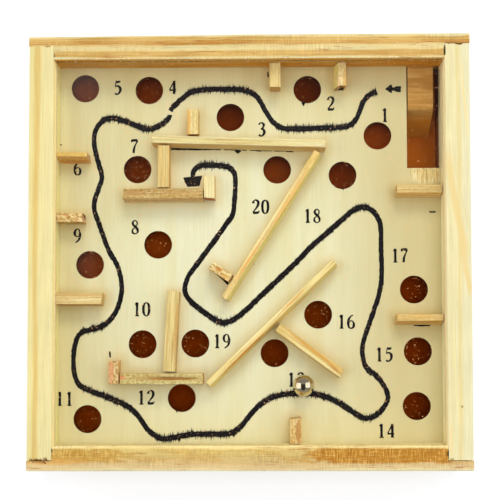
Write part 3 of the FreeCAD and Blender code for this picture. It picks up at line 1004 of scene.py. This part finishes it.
# Small stray marks of ink on the board: (x, y, thickness) strokes.
STRAY_MARKS = [
    [(58.8, 13.3, 0.5), (60.9, 13.2, 0.5)],
    [(53.4, -23.75, 0.4), (56.0, -23.85, 0.55), (58.8, -23.8, 0.4)],
    [(-45.5, -32.0, 0.5), (-45.4, -34.0, 0.6)],
    [(17.9, 49.6, 1.3), (17.9, 49.1, 1.0), (18.0, 48.2, 0.15)],
    [(-23.8, -51.2, 0.6), (-23.5, -52.0, 0.2)],
    [(30.6, 21.3, 0.5), (30.8, 20.4, 0.2)],
    [(-62.2, 35.9, 0.4), (-61.6, 35.9, 0.4)],
    [(1.3, -3.6, 0.35), (1.7, -3.6, 0.35)],
    [(-10.9, -6.7, 0.2), (-9.2, -8.1, 0.4), (-8.4, -8.8, 0.6), (-6.8, -10.1, 0.95)],
    [(6.2, 59.8, 0.4), (6.3, 58.0, 0.5)],
    [(-25.6, 34.45, 0.9), (-18.0, 34.25, 0.8), (-12.5, 34.1, 0.35)],
    [(-4.6, 33.6, 0.4), (-3.7, 33.4, 1.3), (-2.6, 33.6, 0.4)],
]


def curve_points(anchors, step):
    """Evenly spaced samples of a smooth curve through anchors of any number of values."""
    samples = []
    last = len(anchors) - 1
    for i in range(last):
        a, b = anchors[i], anchors[i + 1]
        before = anchors[i - 1] if i else a
        after = anchors[i + 2] if i + 2 <= last else b
        span = math.dist(a[:2], b[:2])
        if span == 0:
            continue
        lead = max(math.dist(before[:2], a[:2]), 1e-6)
        trail = max(math.dist(b[:2], after[:2]), 1e-6)
        enter = [(q - p) * span / (span + (lead if i else 0)) for p, q in zip(before, b)]
        leave = [(q - p) * span / (span + (trail if i + 2 <= last else 0)) for p, q in zip(a, after)]
        count = max(1, round(span / step))
        for k in range(count):
            t = k / count
            weights = (2 * t**3 - 3 * t**2 + 1, t**3 - 2 * t**2 + t, 3 * t**2 - 2 * t**3, t**3 - t**2)
            rows = zip(a, enter, b, leave)
            samples.append([sum(w * v for w, v in zip(weights, row)) for row in rows])
    samples.append(list(anchors[-1]))
    return samples


def ribbon(anchors, step, ragged, seed, bleed=0.0, gap=None):
    """Points and faces of a printed line. Anchors are (x, y, width); the edges are ragged
    and bleed a little along the grain of the board, which runs along Y."""
    line = curve_points(anchors, step)
    points = []
    faces = []
    for i, (x, y, width) in enumerate(line):
        ahead = line[min(i + 1, len(line) - 1)]
        behind = line[max(i - 1, 0)]
        run = Vector((ahead[0] - behind[0], ahead[1] - behind[1])).normalized()
        normal = Vector((-run.y, run.x))
        row = []
        half = width / 2 * (1 + 0.12 * abs(run.x) * (bleed > 0))
        for side in (1, 0.35, -0.35, -1):
            p = Vector((x, y)) + normal * half * side
            if abs(side) == 1:
                p += normal * side * ragged * bumps(p.x * 1.7, p.y * 1.7, seed + 0.43)
                comb = max(0.0, bumps(p.x * 8.3, p.y * 0.37, seed + 3.4) + 0.04)
                p.y += math.copysign(bleed * comb * abs(run.x) ** 3, normal.y * side)
            row.append((p.x, p.y))
        points.append(row)
    flat = [p for row in points for p in row]
    for i in range(len(line) - 1):
        for j in range(3):
            a = i * 4 + j
            if gap and math.dist(line[i][:2], gap) < 0.5 + 0.12 * j:
                continue
            faces.append((a, a + 1, a + 5, a + 4))
    return flat, faces


def join(parts):
    """One list of points and faces out of several."""
    points = []
    faces = []
    for more_points, more_faces in parts:
        start = len(points)
        points += more_points
        faces += [tuple(start + i for i in face) for face in more_faces]
    return points, faces


def printed(name, parts, material):
    """A thin printed layer on top of the maze board."""
    points, faces = join(parts)
    raised = [(x + REGISTER[0], y + REGISTER[1], BOARD_TOP) for x, y in points]
    piece = mesh_object(name, "box", "printed_ink", material, raised, faces, smooth=False)
    for face in piece.data.polygons:
        if face.normal.z < 0:
            face.flip()
    layer = piece.modifiers.new("layer", "SOLIDIFY")
    layer.thickness = INK_DEPTH * MM
    layer.offset = 1.0


def ink_material():
    """Black print that has soaked unevenly into the wood."""
    s = Shader("printed_ink")
    soak = s.noise((3.0, 0.7, 1.0), (0, 0, 0), 4.0, 0.7)
    base = s.ramp(soak, [(0.3, (20, 16, 18)), (0.55, (30, 27, 29)), (0.75, (60, 54, 52))])
    inputs = {"Base Color": base, "Roughness": 0.6, "Specular IOR Level": 0.06}
    ink = s.add("ShaderNodeBsdfPrincipled", inputs)
    void = s.noise((4.2, 1.5, 1.0), (7, 3, 0), 2.0, 0.6)
    hole = s.add("ShaderNodeBsdfTransparent")
    return s.finish(s.add("ShaderNodeMixShader", {0: s.spread(void, 0.66, 0.72), 1: ink, 2: hole}))


def make_print():
    """The route, its start arrow and finish mark, the hole numbers and the stray marks."""
    ink = ink_material()
    route = [(x, y, ROUTE_WIDTH) for x, y in ROUTE]
    printed("route_line", [ribbon(route, 0.055, 0.2, 1.0, 1.7, ROUTE_GAP)], ink)
    printed("start_arrow", [ribbon(START_ARROW, 0.2, 0.12, 2.0)], ink)
    printed("finish_mark", [ribbon(FINISH_MARK, 0.25, 0.1, 4.0)], ink)
    parts = []
    for number, (x, y) in NUMBERS.items():
        text = str(number)
        for i, digit in enumerate(text):
            corner_x = x + (i - (len(text) - 1) / 2) * DIGIT_PITCH - 0.25 * NUMBER_HEIGHT
            corner_y = y - 0.5 * NUMBER_HEIGHT
            for stroke in DIGITS[digit]:
                line = []
                for point in stroke:
                    u, v, weight = [value / 100 * NUMBER_HEIGHT for value in point]
                    line.append((corner_x + u, corner_y + v, weight * PEN_WEIGHT))
                parts.append(ribbon(line, 0.12, 0.06, number))
    printed("printed_numbers", parts, ink)
    marks = [ribbon(stroke, 0.12, 0.12, i) for i, stroke in enumerate(STRAY_MARKS)]
    # a broken stray line of ink along the near foot of the long bar, which slants
    foot_x, foot_y, slope = -26, 34.62, 0.0314
    rng = random.Random(5)
    x = -13.0
    while x < 15:
        long = rng.uniform(1.5, 5.0)
        y = foot_y - slope * (x - foot_x)
        dash = [(x, y, 0.35), (x + long, y - 0.03 * long, rng.uniform(0.25, 0.7))]
        marks.append(ribbon(dash, 0.15, 0.12, x))
        x += long + rng.uniform(0.1, 1.2)
    printed("stray_marks", marks, ink)


# ---------------------------------------------------------------- ball
def make_ball():
    """A finely divided ball the size of its CAD node."""
    low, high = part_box("steel_ball")
    centre = (low + high) / 2 / MM
    radius = (high.x - low.x) / 2 / MM - 0.002
    around = 96
    down = 64
    rings = []
    for i in range(1, down):
        polar = math.pi * i / down
        ring = []
        for j in range(around):
            turn = 2 * math.pi * j / around
            ring.append((
                centre.x + radius * math.sin(polar) * math.cos(turn),
                centre.y + radius * math.sin(polar) * math.sin(turn),
                centre.z + radius * math.cos(polar),
            ))
        rings.append(ring)
    points, faces = skin(rings)
    faces = faces[:-2]
    for pole, ring in ((1, 0), (-1, down - 2)):
        points.append((centre.x, centre.y, centre.z + pole * radius))
        tip = len(points) - 1
        for j in range(around):
            faces.append((ring * around + j, ring * around + (j + 1) % around, tip))
    mesh_object("polished_ball", "ball", "polished_steel", steel_material(), points, faces,
                replaces="steel_ball")


# ---------------------------------------------------------------- dust and splinters
DUST_TRIES = 9000  # most are left out, so that the specks lie in loose clouds
DUST_MARGIN = 0.8


def make_dust():
    """Specks of sawdust on the clear cover."""
    s = Shader("sawdust")
    tone = s.noise((2.0, 2.0, 2.0), (0, 0, 0), 2.0)
    base = s.ramp(tone, [(0.3, (244, 168, 98)), (0.7, (255, 200, 140))])
    material = s.surface(base, 0.9, Specular_IOR_Level=0.0)
    rng = random.Random(12)
    parts = []
    for _ in range(DUST_TRIES):
        x = rng.uniform(-INNER_X + DUST_MARGIN, INNER_X - DUST_MARGIN)
        y = rng.uniform(-INNER_Y + DUST_MARGIN, INNER_Y - DUST_MARGIN)
        if rng.random() > 0.38 + 1.1 * bumps(x * 0.045, y * 0.045, 7.3):
            continue
        size = 0.06 + 0.09 * rng.random() ** 2.5
        turn = rng.uniform(0, math.pi)
        long = size * rng.uniform(1.0, 2.2)
        ring = []
        for k in range(5):
            a = 2 * math.pi * k / 5
            u = long * math.cos(a) * rng.uniform(0.7, 1.1)
            v = size * math.sin(a) * rng.uniform(0.7, 1.1)
            px = x + u * math.cos(turn) - v * math.sin(turn)
            py = y + u * math.sin(turn) + v * math.cos(turn)
            ring.append((px, py, COVER_TOP))
        faces = [(k, (k + 1) % 5, 5) for k in range(5)] + [(4, 3, 2, 1, 0)]
        parts.append((ring + [(x, y, COVER_TOP + size)], faces))
    points, faces = join(parts)
    mesh_object("cover_dust", "box", "dust", material, points, faces, smooth=False)


CORNER_EDGE_Y = 27.9  # the near edge of the maze board's open corner


def make_splinters():
    """Torn face veneer beside the open corner of the maze board."""
    s = Shader("torn_veneer")
    fibre = s.noise((4.0, 0.3, 1.0), (0, 0, 0), 4.0, 0.6)
    base = s.ramp(fibre, [(0.3, (196, 160, 92)), (0.5, (226, 204, 142)), (0.7, (246, 232, 176))])
    material = s.surface(base, 0.7, fibre, 0.4)
    rng = random.Random(3)
    parts = []
    for i in range(13):
        x = 53.4 + i * 0.68 + rng.uniform(-0.2, 0.2)
        long = rng.uniform(2.0, 5.2)
        wide = rng.uniform(0.16, 0.42)
        lift = rng.uniform(0.1, 0.3)
        top = CORNER_EDGE_Y - rng.uniform(0.0, 0.5)
        rings = []
        for t in (0, 0.15, 0.5, 0.85, 1):
            half = wide * (1 - 0.9 * abs(2 * t - 0.8) ** 2 / 1.5)
            half = max(half, 0.03)
            y = top - long * t
            bend = 0.25 * bumps(x, y * 0.5, 1.0)
            rise = lift * (1 - t)
            rings.append([
                (x + bend - half, y, BOARD_TOP),
                (x + bend + half, y, BOARD_TOP),
                (x + bend + half * 0.4, y, BOARD_TOP + rise + 0.05),
                (x + bend - half * 0.6, y, BOARD_TOP + rise * 0.8 + 0.05),
            ])
        parts.append(skin(rings))
    points, faces = join(parts)
    mesh_object("torn_veneer", "box", "board_plywood", material, points, faces, smooth=False)


# ---------------------------------------------------------------- build
for rail in RAILS:
    make_rail(rail)
for index, (stick, spec) in enumerate(STICKS.items()):
    make_stick(stick, spec, 3.7 * (index + 1))
dress("maze_board", board_material())
dress("bottom_sheet", hardboard_material())
dress("clear_cover", acrylic_material())
dress("return_ramp", ramp_material())
make_ball()
make_print()
make_splinters()
make_dust()

# ---------------------------------------------------------------- studio
# The floor is a wide shallow dish in metres, so that no view sees past its edge.
FLOOR_SIDES = 48
FLOOR_RADIUS = 7.0
RIM_RADIUS = 9.0
RIM_HEIGHT = 0.8


def stage_object(name, points, faces, material):
    """A mesh in metres that is no part of the game."""
    mesh = bpy.data.meshes.new(name)
    mesh.from_pydata(points, [], faces)
    mesh.materials.append(material)
    made = link(name, mesh)
    return made


s = Shader("paper")
tone = s.noise((0.01, 0.01, 0.01), (0, 0, 0), 2.0)
paper = s.mix(tone, (0.46, 0.48, 0.52, 1), (0.48, 0.50, 0.54, 1))
glow = s.add("ShaderNodeEmission", {"Color": (1, 1, 1, 1), "Strength": 0.54})
matt = s.add("ShaderNodeBsdfDiffuse", {"Color": paper})
s.finish(s.add("ShaderNodeAddShader", {0: glow, 1: matt}))
points = []
for radius, height in ((FLOOR_RADIUS, 0.0), (RIM_RADIUS, RIM_HEIGHT)):
    for i in range(FLOOR_SIDES):
        turn = 2 * math.pi * i / FLOOR_SIDES
        points.append((radius * math.cos(turn), radius * math.sin(turn), height))
faces = [tuple(range(FLOOR_SIDES))]
for i in range(FLOOR_SIDES):
    j = (i + 1) % FLOOR_SIDES
    faces.append((i, i + FLOOR_SIDES, j + FLOOR_SIDES, j))
stage_object("floor", points, faces, s.material)


def softbox(name, at, size, power, aim=(0, 0, 0.02)):
    """A rectangular studio light at a place in metres, turned to the box."""
    light = bpy.data.lights.new(name, "AREA")
    light.shape = "RECTANGLE"
    light.size, light.size_y = size
    light.energy = power
    lamp = link(name, light)
    lamp.location = at
    lamp.rotation_mode = "QUATERNION"
    lamp.rotation_quaternion = (Vector(aim) - Vector(at)).to_track_quat("-Z", "Y")
    return lamp


key = softbox("key", (0.16, 0.76, 0.78), (0.6, 0.4), 6.2)
overhead = softbox("overhead", (0.05, 0.0, 1.2), (0.6, 0.6), 3.6)
for lamp in (key, overhead):
    lamp.visible_glossy = False
softbox("left_window", (-0.56, -0.04, 0.36), (0.66, 0.7), 2.2)
softbox("right_window", (0.44, 0.03, 0.42), (0.56, 0.6), 1.45)

# A dark card round the camera: it shows in the clear cover and in the ball, as the
# photographer does, and takes no light away from the box.
s = Shader("dark_card")
weave = s.noise((0.02, 0.02, 0.02), (0, 0, 0), 2.0)
felt = s.mix(weave, (0.03, 0.028, 0.025, 1), (0.05, 0.045, 0.04, 1))
s.finish(s.add("ShaderNodeBsdfDiffuse", {"Color": felt}))
places = [(-0.20, -0.50, 0.42), (0.12, -0.50, 0.42), (0.12, 0.07, 0.42), (-0.20, 0.07, 0.42)]
card = stage_object("card", places, [(0, 3, 2, 1)], s.material)
card.visible_camera = False
card.visible_diffuse = False
card.visible_shadow = False
card.visible_transmission = False

world = bpy.data.worlds.new("studio")
world.use_nodes = True
world.node_tree.nodes["Background"].inputs[0].default_value = (1.0, 0.985, 0.96, 1)
world.node_tree.nodes["Background"].inputs[1].default_value = 0.34
bpy.context.scene.world = world

lens = bpy.data.cameras.new("camera")
lens.lens = 79.2
lens.sensor_width = 36.0
lens.shift_x = -0.01276
lens.shift_y = 0.09588
lens.clip_start = 0.01
lens.clip_end = 100
camera = link("camera", lens)
camera.location = (0.00738, -0.03086, 0.3743)
camera.rotation_euler = (0.0456, 0.0148, -0.0021)
bpy.context.scene.camera = camera
bpy.context.scene.view_settings.view_transform = "Standard"
